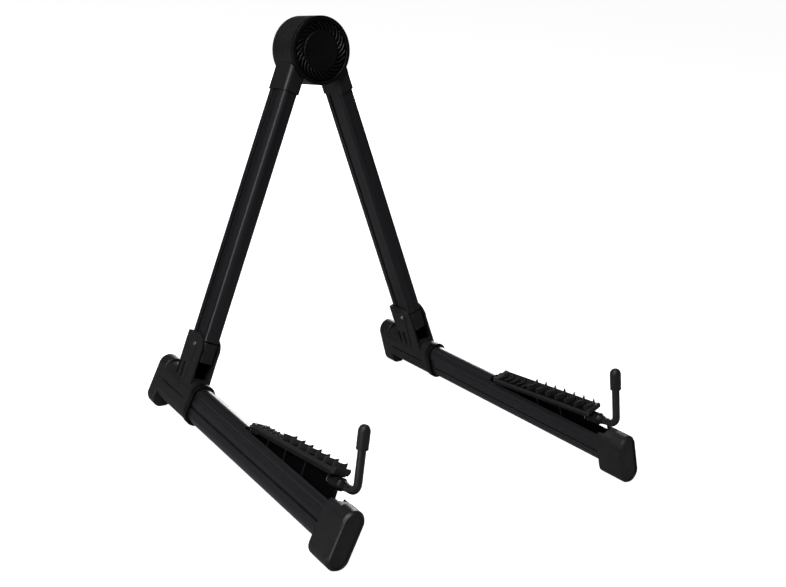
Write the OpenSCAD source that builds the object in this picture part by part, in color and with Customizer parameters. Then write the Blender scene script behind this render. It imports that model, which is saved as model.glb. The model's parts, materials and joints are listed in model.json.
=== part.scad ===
// Folding A-frame guitar stand: two tube legs joined by a round hinge head, two folding feet,
// each with a raised cradle, a finned rubber pad and a bent wire hook.
// Millimetres. +Z up, -Y is the front, the origin lies on the floor under the middle of the stand.

/* [Stance] */
// Distance from the hinge head's centre to the foot's axis, along the leg
leg_len = 290; // [270:1:320]
// Tilt of each leg away from the upright
leg_angle = 21.2; // [18:0.1:24]
// Sideways distance of a leg's axis from the head's centre
leg_offset = 12.8; // [12.4:0.1:15]
// Angle by which a foot drops below the square to its leg
foot_slope = 8.6; // [6:0.1:10]
// Reach of a foot in front of its leg
foot_front = 237.5; // [232:0.5:250]
// Reach of a foot behind its leg
foot_rear = 46; // [42:1:56]

/* [Hinge head] */
// Radius of the round head
drum_r = 26.8; // [25.5:0.1:28]
// Depth of the head, front lip to rear cover
drum_depth = 30; // [29:0.1:32]
// Wall of the two hinge cups
cup_wall = 2.2; // [1.6:0.1:3]
// Thickness of each cup's floor
cup_floor = 3.85; // [3:0.05:4.2]
// Radius of the axle that the legs turn on
axle_r = 3; // [2.5:0.1:3.5]
// Width of the lip round the button
lip_w = 3; // [1.8:0.1:3.4]
// Depth of the lip's ring
lip_d = 3.2; // [2.8:0.1:4]
// Radius of the button's smooth middle
button_boss_r = 15.8; // [13:0.1:18]
// Travel of the head's button
button_travel = 2.5; // [1.5:0.1:2.6]
// Number of curved vanes round the button
vane_count = 28; // [20:1:44]
// Thickness of the rear cover
rear_cover_t = 2; // [1.5:0.1:2.6]
// Radius of the rear cover's screw circle
screw_circle_r = 19; // [17:0.1:20]
// Radius of the screws' shanks
screw_r = 1.3; // [1:0.1:1.5]
// Number of the rear cover's screws
screw_count = 3; // [3:1:4]
// Where a leg's socket ends, measured up from the foot's axis
socket_bottom = 251; // [240:1:254]
// Wall of a leg's socket
socket_wall = 0.9; // [0.8:0.1:1.2]

/* [Legs] */
// Width of a leg's tube
tube_w = 13.4; // [11:0.1:13.6]
// Depth of a leg's tube, front to back
tube_d = 23.6; // [20:0.1:24]
// Rounding of the tube's corners
tube_corner = 2.8; // [2:0.1:4]
// Wall of the tube
tube_wall = 1.4; // [1:0.1:1.6]
// Width of the groove along the tube's sides
tube_groove_w = 1.1; // [0.6:0.1:1.6]
// Depth of that groove
tube_groove_d = 0.7; // [0.3:0.1:0.9]
// Distance of the groove from the tube's rear face
tube_groove_in = 5.8; // [5:0.1:8]

/* [Knee] */
// Height of the knee pin above the foot's axis
knee_up = 43.5; // [42.5:0.1:46]
// Distance of the knee pin in front of the leg's axis
knee_fwd = 1; // [0:0.1:1.5]
// Radius of the knee pin
knee_pin_r = 1.6; // [1.5:0.1:2.2]
// Thickness of the bracket's cheeks
cheek_t = 1.6; // [1.2:0.1:1.8]
// Travel of the knee button
knee_travel = 1.6; // [1:0.1:1.7]

/* [Foot] */
// Half height of the foot's tube
foot_tube_hh = 14.2; // [13.5:0.1:15]
// Half width of the foot's tube
foot_tube_hw = 7.6; // [7.2:0.1:7.7]
// Height of the foot tube's middle above the end caps' middle
foot_tube_up = 3; // [2:0.1:3.5]
// Wall of the foot's tube
foot_wall = 1.4; // [1:0.1:1.8]
// Wall of the sleeve that carries the foot's tube
sleeve_wall = 1.5; // [1.3:0.1:1.8]
// Reach of the sleeve in front of the leg
sleeve_front = 17; // [16.5:0.1:22]
// Height of the end caps
cap_h = 42; // [40:0.5:44]
// Width of the end caps
cap_w = 17.4; // [17.2:0.1:18.4]
// Length of the front cap
front_cap_len = 24; // [22:0.5:26]
// Length of the rear cap
rear_cap_len = 12; // [8:0.5:12]
// Height of the front cap's lower rear part above the foot's axis
cap_step_up = 19; // [18.9:0.1:19.8]
// Length of the front cap's taller part
cap_rim_len = 12; // [9:0.5:14]
// Flat on the bottom of the caps, as a depth cut away
cap_flat = 0.5; // [0.3:0.1:0.8]

/* [Cradle] */
// Distance of the cradle's pin in front of the leg
cradle_fwd = 101; // [95:0.5:103]
// Height of the cradle's pin above the foot's axis
cradle_up = 18; // [17.5:0.1:19]
// Angle by which the cradle rises towards the front
cradle_rise = 7; // [5:0.1:8]
// Length of the cradle's plate in front of its pin
cradle_len = 104; // [100:0.5:106]
// Width of the cradle's plate
cradle_w = 12.8; // [10:0.1:14]
// Reach of the pad's nose past the plate
pad_nose = 4; // [2.5:0.5:4.5]
// Width of the slot in the foot's tube
slot_w = 9.2; // [9:0.1:9.6]
// Thickness of the cradle's plate
plate_t = 2.4; // [1.8:0.1:2.6]
// Thickness of the cradle's ribs
rib_t = 1.2; // [0.8:0.1:1.6]
// Thickness of the pad's base
pad_t = 2.8; // [2:0.1:3.4]
// Height of the tall fins above the pad's base
fin_h = 4.2; // [3:0.1:5.6]
// Height of the low ribs above the pad's base
low_rib_h = 1.3; // [0.8:0.1:2]
// Thickness of a tall fin
fin_w = 1.4; // [1:0.1:2]
// Reach of a fin's point ahead of its ends
fin_point = 3.4; // [2:0.1:4]
// Thickness of a low rib
low_rib_w = 1.2; // [0.8:0.1:1.8]
// Number of tall fins
fin_count = 7; // [5:1:8]
// Number of low ribs
low_rib_count = 5; // [3:1:6]

/* [Hook] */
// Radius of the hook's wire
wire_r = 2.8; // [2.4:0.1:2.9]
// Reach of the wire from its boss to the bend
hook_reach = 17.5; // [14:0.5:20]
// Height of the hook above its own axis
hook_h = 45; // [40:0.5:46]
// Radius of the bend on the wire's centre line
bend_r = 6.5; // [5.5:0.1:8]
// Radius of the rubber sleeve on the hook
hook_sleeve_r = 4.1; // [3.6:0.1:4.3]
// Length of that sleeve
hook_sleeve_len = 16.5; // [14:0.5:22]
// Outward turn of the left hook, away from the square to the foot
left_hook_turn = 14.5; // [0:0.5:20]
// Outward turn of the right hook
right_hook_turn = 14; // [0:1:20]
// Radius of the boss that carries the wire
boss_r = 4.3; // [4.2:0.1:4.4]
// Length of that boss
boss_len = 10; // [8:0.5:11]

/* [Fits] */
// Gap between pieces that slide or turn past each other
move_gap = 0.3; // [0.25:0.05:0.4]
// Gap round a piece that is seated in a pocket
seat_gap = 0.15; // [0.1:0.05:0.2]
// Radial clearance of a shaft in its bore
run_gap = 0.05; // [0.02:0.01:0.08]

/* [Hidden] */
$fn = 96;

// Small number by which a cutting shape runs past what it cuts
past = 1;
LEFT = -1;
RIGHT = 1;

// The frame leans back just enough to hold both ends of each sloping foot at one height
lean = atan(tan(foot_slope) * cos(leg_angle));
splay = asin(sin(foot_slope) * sin(leg_angle));
cap_hh = cap_h / 2;
cap_hw = cap_w / 2;
// Upward share of the direction square to a foot
foot_normal_z = sqrt(1 - pow(sin(leg_angle) * cos(lean), 2));
foot_axis_z = cap_hw + (cap_hh - cap_hw) * foot_normal_z - cap_flat;
leg_rise = leg_len * cos(leg_angle) - leg_offset * sin(leg_angle);
drum_z = foot_axis_z + leg_rise * cos(lean);
// The front and rear ends of the stand, from the head's centre, put the origin halfway between
stand_front = -leg_rise * sin(lean) - foot_front * cos(splay);
stand_rear = drum_depth / 2 * cos(lean) + drum_r * sin(lean);
drum_y = -(stand_front + stand_rear) / 2;

module head() translate([0, drum_y, drum_z]) rotate([-lean, 0, 0]) children();

// A leg's own frame: X outward, origin where the leg's axis meets the foot's axis
module leg(side) head() rotate([0, -side * leg_angle, 0])
    translate([side * leg_offset, 0, -leg_len]) mirrored(side) children();

// A foot's own frame: -Y forward along the foot, Z square to it
module foot(side) leg(side) rotate([foot_slope, 0, 0]) children();

// A cradle's own frame: origin at the cradle's pin, -Y forward along its plate
module cradle_frame(side) foot(side) translate([0, -cradle_fwd, cradle_up])
    rotate([-cradle_rise, 0, 0]) children();

// A hook's own frame: on the wire's axis at the bend, Z along the standing part
module hook_frame(side) cradle_frame(side) translate([0, -hook_fwd, wire_t])
    rotate([0, side < 0 ? left_hook_turn : right_hook_turn, 0]) children();

module mirrored(side) {
    if (side < 0) mirror([1, 0, 0]) children();
    else children();
}

// Extrudes an outline drawn in X and Z forward, from one distance to another
module forward(near, far) translate([0, -near, 0]) rotate([90, 0, 0])
    linear_extrude(far - near) children();

// Extrudes an outline drawn in Y and Z across the leg
module across(width) rotate([90, 0, 90]) linear_extrude(width, center = true) children();

// A cylinder along the Y axis, from one place to another
module y_cylinder(r, near, far) translate([0, far, 0]) rotate([90, 0, 0])
    cylinder(r = r, h = far - near);

module x_cylinder(r, length) rotate([0, 90, 0]) cylinder(r = r, h = length, center = true);

module stadium(hh, hw) {
    square([2 * hw, 2 * (hh - hw)], center = true);
    for (end = [-1, 1]) translate([0, end * (hh - hw)]) circle(hw);
}

module rounded_rect(w, d, r) {
    square([w - 2 * r, d], center = true);
    square([w, d - 2 * r], center = true);
    for (sx = [-1, 1], sy = [-1, 1])
        translate([sx * (w / 2 - r), sy * (d / 2 - r)]) circle(r);
}

// A coil of wire along Y, as one tube swept along a helix
module coil(mean_r, wire, near, far, turns) {
    sides = 6;
    per_turn = 14;
    rings = ceil(turns * per_turn);
    pts = [for (i = [0:rings], j = [0:sides - 1])
        let (a = 360 * turns * i / rings, b = 360 * j / sides, r = mean_r + wire * cos(b))
        [r * cos(a), near + wire + (far - near - 2 * wire) * i / rings + wire * sin(b), r * sin(a)]];
    walls = [for (i = [0:rings - 1], j = [0:sides - 1])
        let (k = (j + 1) % sides)
        each [[i * sides + j, (i + 1) * sides + j, (i + 1) * sides + k],
            [i * sides + j, (i + 1) * sides + k, i * sides + k]]];
    ends = [[for (j = [0:sides - 1]) j], [for (j = [sides - 1:-1:0]) rings * sides + j]];
    polyhedron(pts, concat(walls, ends), convexity = 8);
}

// Head

// The two hinge cups stand back to back on the axle, the right one in front
cup_gap = move_gap / 2;
drum_front = -drum_depth / 2;
drum_back = drum_depth / 2;
cup_front = drum_front + lip_d;
cup_back = drum_back - rear_cover_t;
cup_inner_r = drum_r - cup_wall;
socket_w = tube_w + 2 * (socket_wall + seat_gap);
socket_d = tube_d + 2 * (socket_wall + seat_gap);
// The tube stops short of the circle that the other leg's cup turns in
tube_top = leg_len - sqrt(pow(drum_r + 2 * move_gap, 2) - pow(leg_offset - tube_w / 2, 2)) - move_gap;
socket_top = leg_len - drum_r * 0.45;
axle_front = drum_front + 4.85;
axle_back = cup_floor + 5.4;
axle_bore_r = axle_r + run_gap;
rear_boss_r = axle_r + 4;
rear_boss_back = cup_floor + cup_gap + 4;
clip_t = 0.8;
clip_y = rear_boss_back + seat_gap;
clip_groove_r = axle_r - 0.6;
flange_r = axle_r + 2.2;
flange_t = 1.2;
flange_y = -cup_floor - cup_gap - flange_t;

// Two lugs on the lock ring reach through the front cup into curved slots in the rear cup
lug_r = 1.8;
lug_circle_r = 12;
lug_turn = 2 * leg_angle;
button_back = drum_front + 4.05;
flange_disc_t = 1.5;
vane_front = drum_front + 0.95;
boss_front = drum_front + 0.35;
stem_r = axle_r + 2;
stem_back = button_back + 2.2;
lock_t = 1.5;
lock_outer_r = lug_circle_r + lug_r + 0.8;

module leg_block() translate([0, 0, socket_bottom]) linear_extrude(socket_top - socket_bottom)
    rounded_rect(socket_w, socket_d, tube_corner + seat_gap + socket_wall);

// The outside of one hinge cup with its leg's socket; near and far are the cup's two faces
module cup_and_socket(side, near, far) {
    difference() {
        union() {
            head() y_cylinder(drum_r, near, far);
            difference() {
                leg(side) leg_block();
                head() y_cylinder(drum_r + 2 * move_gap, near < 0 ? -cup_gap : drum_front - past,
                    near < 0 ? drum_back + past : cup_gap);
                if (near < 0) head() y_cylinder(drum_r + 2 * move_gap, drum_front - past, near);
                else head() y_cylinder(drum_r + 2 * move_gap, far, drum_back + past);
            }
        }
        leg(side) translate([0, 0, socket_bottom - past])
            linear_extrude(tube_top + seat_gap - socket_bottom + past)
            rounded_rect(tube_w + 2 * seat_gap, tube_d + 2 * seat_gap, tube_corner);
    }
}

module right_head_housing() color("#1b1b1d") difference() {
    cup_and_socket(RIGHT, cup_front, -cup_gap);
    head() {
        y_cylinder(cup_inner_r, cup_front - past, -cup_gap - cup_floor);
        y_cylinder(axle_bore_r, drum_front, past);
        for (turn = [0, 180]) rotate([0, turn, 0]) translate([lug_circle_r, 0, 0])
            y_cylinder(lug_r + move_gap, drum_front, past);
    }
}

module left_head_housing() color("#1d1d1f") {
    difference() {
        cup_and_socket(LEFT, cup_gap, cup_back);
        head() {
            difference() {
                y_cylinder(cup_inner_r, cup_gap + cup_floor, cup_back + past);
                y_cylinder(rear_boss_r, 0, rear_boss_back);
                for (i = [0:screw_count - 1]) rotate([0, i * 360 / screw_count, 0])
                    translate([screw_circle_r, 0, 0]) y_cylinder(screw_r + 2, 0, cup_back);
            }
            y_cylinder(axle_bore_r, -past, rear_boss_back + past);
            for (turn = [0, 180]) rotate([0, turn, 0]) lug_slot();
            for (i = [0:screw_count - 1]) rotate([0, i * 360 / screw_count, 0])
                translate([screw_circle_r, 0, 0])
                y_cylinder(screw_r + run_gap, cup_back - 6, cup_back + past);
        }
    }
}

// Curved slot that a lug runs along while the legs close, with round ends
module lug_slot() {
    far = cup_gap + cup_floor + past;
    for (a = [0, lug_turn]) rotate([0, a, 0]) translate([lug_circle_r, 0, 0])
        y_cylinder(lug_r + move_gap, -past, far);
    rotate([0, lug_turn, 0]) translate([0, far, 0]) rotate([90, 0, 0])
        rotate_extrude(angle = lug_turn)
        translate([lug_circle_r - lug_r - move_gap / 2, 0])
        square([2 * lug_r + move_gap, far + past]);
}

module head_axle() color("#b9bcc0") head() difference() {
    union() {
        y_cylinder(axle_r, axle_front, axle_back);
        y_cylinder(flange_r, flange_y, flange_y + flange_t - seat_gap / 3);
    }
    difference() {
        y_cylinder(axle_r + past, clip_y, clip_y + clip_t);
        y_cylinder(clip_groove_r, clip_y - past, clip_y + clip_t + past);
    }
}

module head_axle_clip() color("#9a9da1") head() difference() {
    y_cylinder(axle_r + 2, clip_y + run_gap, clip_y + clip_t - run_gap);
    y_cylinder(clip_groove_r + run_gap, clip_y - past, clip_y + clip_t + past);
    translate([0, clip_y - past, -axle_r - 3]) cube([axle_r + 3, clip_t + 2 * past, 2 * axle_r + 6]);
}

module head_bezel() color("#141415") head() difference() {
    y_cylinder(drum_r, drum_front, cup_front);
    y_cylinder(drum_r - lip_w, drum_front - past, drum_front + lip_d / 2 + past);
    y_cylinder(cup_inner_r + move_gap, button_back - flange_disc_t - move_gap, cup_front + past);
}

module vane() {
    vane_w = 1.8;
    sweep = 26;
    inner = button_boss_r - 1;
    outer = drum_r - lip_w - move_gap - 0.4;
    polygon([[inner, 0], [outer * cos(sweep / 2), outer * sin(sweep / 2)],
        [outer * cos(sweep / 2) - vane_w, outer * sin(sweep / 2) + vane_w],
        [inner - 1, vane_w]]);
}

module head_button() color("#121213") head() difference() {
    union() {
        y_cylinder(cup_inner_r - move_gap, button_back - flange_disc_t, button_back);
        y_cylinder(button_boss_r, boss_front, button_back);
        y_cylinder(stem_r, button_back - past, stem_back);
        for (i = [0:vane_count - 1]) rotate([0, i * 360 / vane_count, 0])
            translate([0, button_back - past, 0]) rotate([90, 0, 0])
            linear_extrude(button_back - past - vane_front) vane();
    }
    y_cylinder(axle_bore_r, axle_front - button_travel - move_gap, stem_back + past);
}

module head_lock_ring() color("#8d9094") head() difference() {
    union() {
        y_cylinder(lock_outer_r, stem_back - lock_t, stem_back);
        for (turn = [0, 180]) rotate([0, turn, 0]) translate([lug_circle_r, 0, 0])
            y_cylinder(lug_r, stem_back - past, cup_gap + cup_floor - button_travel);
    }
    y_cylinder(stem_r + run_gap, drum_front, stem_back + past);
}

module head_button_spring() color("#a5a8ac") head()
    coil(lock_outer_r + 2.4, 0.5, button_back, -cup_gap - cup_floor, 2.5);

module head_opening_spring() color("#a5a8ac") head()
    coil(rear_boss_r + 1.5, 0.8, cup_gap + cup_floor, cup_back, 3.5);

module head_rear_cover() color("#1a1a1c") head() difference() {
    y_cylinder(drum_r, cup_back, drum_back);
    for (i = [0:screw_count - 1]) rotate([0, i * 360 / screw_count, 0])
        translate([screw_circle_r, 0, 0]) {
            y_cylinder(screw_r + run_gap, 0, drum_back + past);
            y_cylinder(2 * screw_r + seat_gap, drum_back - rear_cover_t / 2, drum_back + past);
        }
}

module head_cover_screws() color("#6f7276") head()
    for (i = [0:screw_count - 1]) rotate([0, i * 360 / screw_count, 0])
    translate([screw_circle_r, 0, 0]) difference() {
        union() {
            y_cylinder(screw_r, cup_back - 5.5, drum_back - 0.3);
            y_cylinder(2 * screw_r, drum_back - rear_cover_t / 2, drum_back - 0.2);
        }
        translate([0, drum_back, 0]) cube([2.6, 1, 0.6], center = true);
        translate([0, drum_back, 0]) cube([0.6, 1, 2.6], center = true);
    }

// Leg and knee

knee_y = -knee_fwd;
// Lower end of the leg's tube, a little above the pin
knee_cut_z = knee_up + knee_pin_r + 2.6;
// The bracket's cheeks pass the tube on the outside
cheek_in = tube_w / 2 + move_gap;
knee_w = 2 * (cheek_in + cheek_t);
bracket_front = -tube_d / 2 - 0.3;
rear_wall_t = 1.7;
bracket_rear = tube_d / 2 + move_gap + rear_wall_t;
cheek_round_drop = 3;
cheek_round_r = -bracket_front - knee_fwd + 0.4;
cheek_top = knee_up + 8.6;
button_skin = 1.8;
plug_front = -tube_d / 2 + button_skin + knee_travel + move_gap;
plug_end_r = 10.5;
button_top = knee_cut_z - 1.1;
button_bottom = knee_up - 12.6;
window_bottom = knee_up - 25.4;
slot_bottom = window_bottom - 2.6;
slot_top = knee_up - 16;
cheek_slot_w = 3.4;
cheek_slot_d = 1.1;
panel_proud = 0.5;
stem_hw = 2.6;
stem_hh = 3.5;
stem_in = plug_front + 1.2;
pocket_in = stem_in + knee_travel + 1.2;

module leg_tube() translate([0, 0, knee_cut_z]) linear_extrude(tube_top - knee_cut_z) difference() {
    rounded_rect(tube_w, tube_d, tube_corner);
    rounded_rect(tube_w - 2 * tube_wall, tube_d - 2 * tube_wall, tube_corner - tube_wall);
    for (sx = [-1, 1]) translate([sx * tube_w / 2, tube_d / 2 - tube_groove_in])
        square([2 * tube_groove_d, tube_groove_w], center = true);
}

module upright_tube(side) color("#1e1f23") leg(side) leg_tube();

module plug_body() difference() {
    union() {
        // Spigot inside the tube
        translate([0, 0, knee_cut_z - move_gap]) linear_extrude(1.8 * tube_d)
            rounded_rect(tube_w - 2 * (tube_wall + seat_gap), tube_d - 2 * (tube_wall + seat_gap),
                tube_corner - tube_wall);
        // End below the tube, flat in front and round underneath
        intersection() {
            across(tube_w) translate([plug_front, knee_up - tube_d])
                square([tube_d / 2 - plug_front, knee_cut_z - knee_up + tube_d]);
            across(2 * tube_w) {
                translate([knee_y, knee_up]) circle(plug_end_r);
                translate([plug_front - past, knee_up]) square([tube_d + 2 * past, tube_d]);
            }
        }
    }
    translate([0, knee_y, knee_up]) x_cylinder(knee_pin_r + run_gap, 2 * knee_w);
    translate([-stem_hw - seat_gap, plug_front - past, knee_up - stem_hh - seat_gap])
        cube([2 * (stem_hw + seat_gap), pocket_in - plug_front + past, 2 * (stem_hh + seat_gap)]);
}

module knee_plug(side) color("#161617") leg(side) plug_body();

module knee_pin(side) color("#c9ccd0") leg(side) translate([0, knee_y, knee_up])
    x_cylinder(knee_pin_r, knee_w + 2 * panel_proud + 0.6);

// Push plate that carries on the front face of the tube, with a stem that slides in the plug
module knee_button(side) color("#17181b") leg(side) {
    translate([0, 0, button_bottom]) linear_extrude(button_top - button_bottom) intersection() {
        rounded_rect(tube_w - 2 * seat_gap, tube_d, tube_corner);
        translate([-tube_w, -tube_d / 2]) square([2 * tube_w, button_skin]);
    }
    translate([-stem_hw, -tube_d / 2 + button_skin / 2, knee_up - stem_hh + 0.5])
        cube([2 * stem_hw, stem_in + tube_d / 2 - button_skin / 2, 2 * stem_hh - 1]);
}

module knee_spring(side) color("#a5a8ac") leg(side) translate([0, 0, knee_up])
    coil(stem_hw - 0.8, 0.25, stem_in, pocket_in, 3.5);

sleeve_hw = foot_tube_hw + sleeve_wall + seat_gap;
sleeve_hh = foot_tube_hh + sleeve_wall + seat_gap;
cap_rear_face = foot_rear;
sleeve_rear = foot_rear - rear_cap_len - seat_gap;
tube_rear = foot_rear - 4;
tube_inset = 10;
front_tube_end = foot_front - tube_inset;
collar_len = 5;
collar_t = 0.7;

// Outline of a cheek, with a round front beside the pin
module cheek_outline() {
    translate([knee_y, knee_up - cheek_round_drop]) circle(cheek_round_r);
    polygon([[bracket_front, 0], [bracket_rear, 0], [bracket_rear, cheek_top],
        [bracket_rear - 6, cheek_top + 0.6], [knee_y, knee_up - cheek_round_drop + cheek_round_r - 0.1],
        [bracket_front, knee_up - cheek_round_drop]]);
}

// Raised panel on the outside of a cheek, with a round shoulder over the pin
module panel_outline() {
    shoulder_r = 5.2;
    front = knee_y - 3.4;
    translate([front + shoulder_r, knee_up - 0.6]) circle(shoulder_r);
    polygon([[front + 3.4, slot_bottom - 1], [bracket_rear - 0.9, slot_bottom - 1],
        [bracket_rear - 0.9, cheek_top - 0.9], [knee_y + 7.6, cheek_top - 0.4],
        [knee_y + 5, knee_up + 3], [front + shoulder_r, knee_up + 4], [front + 0.4, knee_up - 2.2]]);
}

module foot_bracket(side) color("#1c1c1e") difference() {
    union() {
        foot(side) translate([0, 0, foot_tube_up]) forward(-sleeve_rear, sleeve_front)
            stadium(sleeve_hh, sleeve_hw);
        leg(side) difference() {
            union() {
                across(knee_w) cheek_outline();
                across(knee_w + 2 * panel_proud) panel_outline();
            }
            // Space between the cheeks, open at the top and at the front above a low wall
            across(2 * cheek_in) polygon([[bracket_front + rear_wall_t, -past],
                [bracket_rear - rear_wall_t, -past], [bracket_rear - rear_wall_t, 2 * knee_up],
                [bracket_front - 2 * past, 2 * knee_up], [bracket_front - 2 * past, window_bottom],
                [bracket_front + rear_wall_t, window_bottom]]);
            // Blind slots low in both cheeks
            for (sx = [-1, 1], y = [bracket_rear - cheek_slot_w - 1.2, knee_y + 3.6])
                translate([sx * knee_w / 2 - cheek_slot_d, y, slot_bottom])
                cube([2 * cheek_slot_d, cheek_slot_w, slot_top - slot_bottom]);
            translate([0, knee_y, knee_up]) x_cylinder(knee_pin_r + run_gap, 2 * knee_w);
        }
    }
    foot(side) translate([0, 0, foot_tube_up]) {
        forward(-foot_rear - past, sleeve_front + past)
            stadium(foot_tube_hh + seat_gap, foot_tube_hw + seat_gap);
        // Long slit along both sides of the sleeve
        forward(-sleeve_rear + 5, sleeve_front - collar_len - 2) for (sx = [-1, 1])
            translate([sx * sleeve_hw, 0]) square([2.2, 1], center = true);
    }
}

module foot_collar(side) color("#0f0f10") foot(side) translate([0, 0, foot_tube_up])
    forward(sleeve_front + run_gap, sleeve_front + collar_len) difference() {
        stadium(sleeve_hh + collar_t, sleeve_hw + collar_t);
        stadium(foot_tube_hh + seat_gap, foot_tube_hw + seat_gap);
    }

// Foot

foot_groove_down = 2;
slot_rear = cradle_fwd - 7;
slot_front = foot_front - front_cap_len + 4.5;

module foot_tube(side) color("#23242a") foot(side) translate([0, 0, foot_tube_up]) difference() {
    forward(-tube_rear, front_tube_end) difference() {
        stadium(foot_tube_hh, foot_tube_hw);
        stadium(foot_tube_hh - foot_wall, foot_tube_hw - foot_wall);
        for (sx = [-1, 1]) translate([sx * foot_tube_hw, -foot_groove_down])
            square([2 * tube_groove_d, tube_groove_w], center = true);
    }
    translate([-slot_w / 2, -slot_front, foot_tube_hh / 2])
        cube([slot_w, slot_front - slot_rear, foot_tube_hh]);
}

// Cuts an end cap level where it stands on the floor
module level_with_floor() difference() {
    children();
    translate([-leg_len, -leg_len, -leg_len]) cube([2 * leg_len, 2 * leg_len, leg_len]);
}

module front_cap(side) color("#202022") level_with_floor() foot(side) difference() {
    union() {
        forward(foot_front - front_cap_len, foot_front - 2) stadium(cap_hh, cap_hw);
        hull() {
            forward(foot_front - 2, foot_front - 1.9) stadium(cap_hh, cap_hw, $fn = 48);
            forward(foot_front - 0.1, foot_front) stadium(cap_hh - 1.2, cap_hw - 1.2, $fn = 48);
        }
    }
    forward(foot_front - 0.8, foot_front + past) stadium(cap_hh - 2.2, cap_hw - 2.2);
    translate([0, 0, foot_tube_up]) forward(foot_front - front_cap_len - past, front_tube_end + seat_gap)
        stadium(foot_tube_hh + seat_gap, foot_tube_hw + seat_gap);
    // Lower rear part
    translate([-cap_w, -foot_front + cap_rim_len, cap_step_up])
        cube([2 * cap_w, front_cap_len, cap_h]);
    // Opening over the slot, where the cradle's boss sits
    translate([-slot_w / 2, -slot_front, foot_tube_up + foot_tube_hh / 2])
        cube([slot_w, slot_front - slot_rear, cap_hh]);
}

module rear_cap(side) color("#1e1e20") level_with_floor() foot(side) difference() {
    forward(-foot_rear, -foot_rear + rear_cap_len) stadium(cap_hh, cap_hw);
    translate([0, 0, foot_tube_up]) forward(-tube_rear - seat_gap, past)
        stadium(foot_tube_hh + seat_gap, foot_tube_hw + seat_gap);
}

// Cradle

cradle_pin_r = 1.5;
ear_r = 2.9;
tongue_hw = 1.6;
web_hw = 1.6;
plate_bottom = -0.5;
plate_top = plate_bottom + plate_t;
wire_t = plate_bottom - boss_r + 0.8;
clip_r = wire_r + 0.9;
pad_rear = ear_r + move_gap;
boss_front_s = cradle_len + 6;
boss_back_s = boss_front_s - boss_len;
rib_hw = slot_w / 2 - move_gap;
// Depth of the web below the foot tube's top, measured from the cradle's pin
web_depth = 9;
wedge_start = 12;
ear_reach = 9.5;
ear_drop = 2.4;
tongue_room = 8;
anchor_len = 12;
anchor_hw = slot_w / 2 - seat_gap;
rib_places = [0.24, 0.46, 0.7];
pad_front = cradle_len + pad_nose;
pad_top = plate_top + pad_t;

// Block inside the foot's tube whose tongue holds the cradle's pin
module cradle_anchor(side) color("#17171a") foot(side) translate([0, -cradle_fwd, cradle_up])
    difference() {
        union() {
            across(2 * tongue_hw) {
                circle(ear_r);
                translate([-ear_r, -7]) square([2 * ear_r, 7]);
            }
            translate([-anchor_hw, -5.5, -cradle_up + foot_tube_up + foot_tube_hh - foot_wall - 6])
                cube([2 * anchor_hw, anchor_len, 3]);
        }
        x_cylinder(cradle_pin_r + run_gap, 2 * slot_w);
    }

// Outline of the wedge below the plate, level with the foot at its lower edge
module wedge_outline() difference() {
    translate([-boss_front_s + 3, -cradle_len / 2])
        square([boss_front_s - wedge_start, cradle_len / 2 + plate_bottom + 0.1]);
    rotate(cradle_rise) translate([-2 * cradle_len, -web_depth - cradle_len])
        square([4 * cradle_len, cradle_len]);
}

module cradle(side) color("#151517") cradle_frame(side) difference() {
    union() {
        translate([-cradle_w / 2, -cradle_len, plate_bottom]) cube([cradle_w, cradle_len - 2, plate_t]);
        across(2 * web_hw) wedge_outline();
        intersection() {
            across(2 * rib_hw) wedge_outline();
            for (place = rib_places) translate([-slot_w, -place * cradle_len - rib_t / 2, -cradle_len])
                cube([2 * slot_w, rib_t, 2 * cradle_len]);
        }
        // Ears round the pin
        for (sx = [-1, 1]) translate([sx * (tongue_hw + move_gap + 1.1), 0, 0]) across(2.2) {
            circle(ear_r);
            translate([-ear_reach, -ear_drop]) square([ear_reach, plate_top + ear_drop]);
        }
        // Boss for the hook's wire
        translate([0, 0, wire_t]) y_cylinder(boss_r, -boss_front_s, -boss_back_s);
    }
    x_cylinder(cradle_pin_r + run_gap, 2 * slot_w);
    translate([-tongue_hw - move_gap, -tongue_room, -ear_r - past])
        cube([2 * (tongue_hw + move_gap), tongue_room + ear_r + past, 2 * (ear_r + past)]);
    translate([0, 0, wire_t]) {
        y_cylinder(wire_r + 0.9, -boss_front_s - past, -boss_back_s - 1.5);
        y_cylinder(wire_r + run_gap + 0.3, -boss_front_s - past, -boss_back_s + clip_room);
        // Room for the wire's clip
        y_cylinder(clip_r + move_gap, -boss_back_s, -boss_back_s + clip_room);
    }
}

module cradle_pin(side) color("#cfd2d6") foot(side) translate([0, -cradle_fwd, cradle_up])
    x_cylinder(cradle_pin_r, slot_w - 0.6);

module rubber_pad(side) color("#101011") cradle_frame(side) {
    fins_from = 0.4 * cradle_len;
    pitch = (cradle_len - fin_w - fins_from) / (fin_count - 1);
    low_pitch = (fins_from - pad_rear - low_rib_w) / low_rib_count;
    // Base, with a nose that runs out past the plate and curls down over its end
    across(cradle_w) polygon([[-pad_rear, plate_top], [-pad_rear, pad_top], [-cradle_len, pad_top],
        [-pad_front + 1, pad_top + 1.2], [-pad_front, pad_top - 0.6],
        [-cradle_len - pad_nose / 2, plate_bottom + 1.2], [-cradle_len, plate_bottom + 1.2],
        [-cradle_len, plate_top]]);
    for (i = [0:fin_count - 1]) translate([0, -fins_from - i * pitch, pad_top - 0.2])
        linear_extrude(fin_h + 0.2) chevron(fin_w, fin_point);
    for (i = [0:low_rib_count - 1])
        translate([0, -pad_rear - 2 * low_rib_w - i * low_pitch, pad_top - 0.2])
        linear_extrude(low_rib_h + 0.2) chevron(low_rib_w, fin_point);
}

// A rib bent to a point that lies forward of its two ends
module chevron(thickness, point) polygon([[-cradle_w / 2, 0], [0, -point], [cradle_w / 2, 0],
    [cradle_w / 2, thickness], [0, thickness - point], [-cradle_w / 2, thickness]]);

// Hook

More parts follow.
